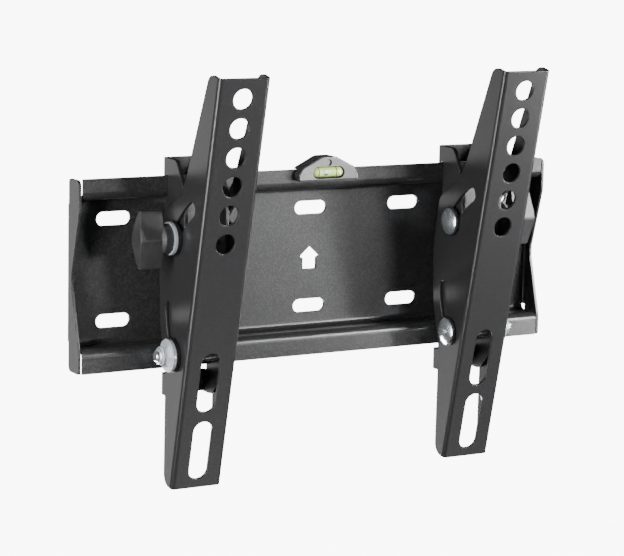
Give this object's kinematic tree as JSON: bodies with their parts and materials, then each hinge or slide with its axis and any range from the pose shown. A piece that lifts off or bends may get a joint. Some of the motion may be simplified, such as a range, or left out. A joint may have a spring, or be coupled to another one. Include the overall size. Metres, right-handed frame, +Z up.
{
  "type": "tilting tv wall bracket",
  "caption": "Tilting wall bracket for a flat television: a slotted wall plate, sliding hook brackets and arms that tilt on arc slots.",
  "frame": {"origin": "centre of the wall slots, on the plate's back face against the wall", "axes": "+X to the right as seen from the room, +Z up, +Y into the wall, so the room and the screen are towards -Y"},
  "size_m": [0.2978, 0.0797, 0.2292],
  "materials": {
    "powder_coat": "fine textured satin black powder coat",
    "zinc": "bright zinc plate",
    "black_nylon": "matt black nylon",
    "black_plastic": "moulded black plastic, fine spark texture",
    "grey_plastic": "moulded grey plastic",
    "brass": "turned",
    "vial": "clear tinted acrylic"
  },
  "bodies": {
    "wall_plate": {"wall_plate": "powder_coat", "level_body": "grey_plastic", "level_vial": "vial"},
    "left_hook": {"left_hook_bracket": "powder_coat", "left_upper_bolt": "zinc", "left_lower_bolt": "zinc", "left_upper_sleeve": "zinc", "left_lower_sleeve": "zinc", "left_friction_washers": "black_nylon", "left_plain_washers": "zinc", "left_lock_nut": "zinc"},
    "left_arm": {"left_arm": "powder_coat"},
    "left_knob": {"left_knob": "black_plastic", "left_knob_insert": "brass"},
    "right_hook": {"right_hook_bracket": "powder_coat", "right_upper_bolt": "zinc", "right_lower_bolt": "zinc", "right_upper_sleeve": "zinc", "right_lower_sleeve": "zinc", "right_friction_washers": "black_nylon", "right_plain_washers": "zinc", "right_lock_nut": "zinc"},
    "right_arm": {"right_arm": "powder_coat"},
    "right_knob": {"right_knob": "black_plastic", "right_knob_insert": "brass"}
  },
  "joints": [
    {"name": "left_slide", "type": "slide", "parent": "wall_plate", "child": "left_hook", "axis": [1, 0, 0], "range_m": [-0.0445, 0.0455]},
    {"name": "left_tilt", "type": "hinge", "parent": "left_hook", "child": "left_arm", "pos_m": [-0.084, -0.081, -0.016], "axis": [1, 0, 0], "range_deg": [-24, 0]},
    {"name": "left_knob_turn", "type": "hinge", "parent": "left_hook", "child": "left_knob", "pos_m": [-0.084, -0.03053, 0.02], "axis": [1, 0, 0], "continuous": true},
    {"name": "right_slide", "type": "slide", "parent": "wall_plate", "child": "right_hook", "axis": [1, 0, 0], "range_m": [-0.0529, 0.0371]},
    {"name": "right_tilt", "type": "hinge", "parent": "right_hook", "child": "right_arm", "pos_m": [0.0914, -0.081, -0.016], "axis": [1, 0, 0], "range_deg": [-24, 0]},
    {"name": "right_knob_turn", "type": "hinge", "parent": "right_hook", "child": "right_knob", "pos_m": [0.0914, -0.03053, 0.02], "axis": [1, 0, 0], "continuous": true}
  ]
}
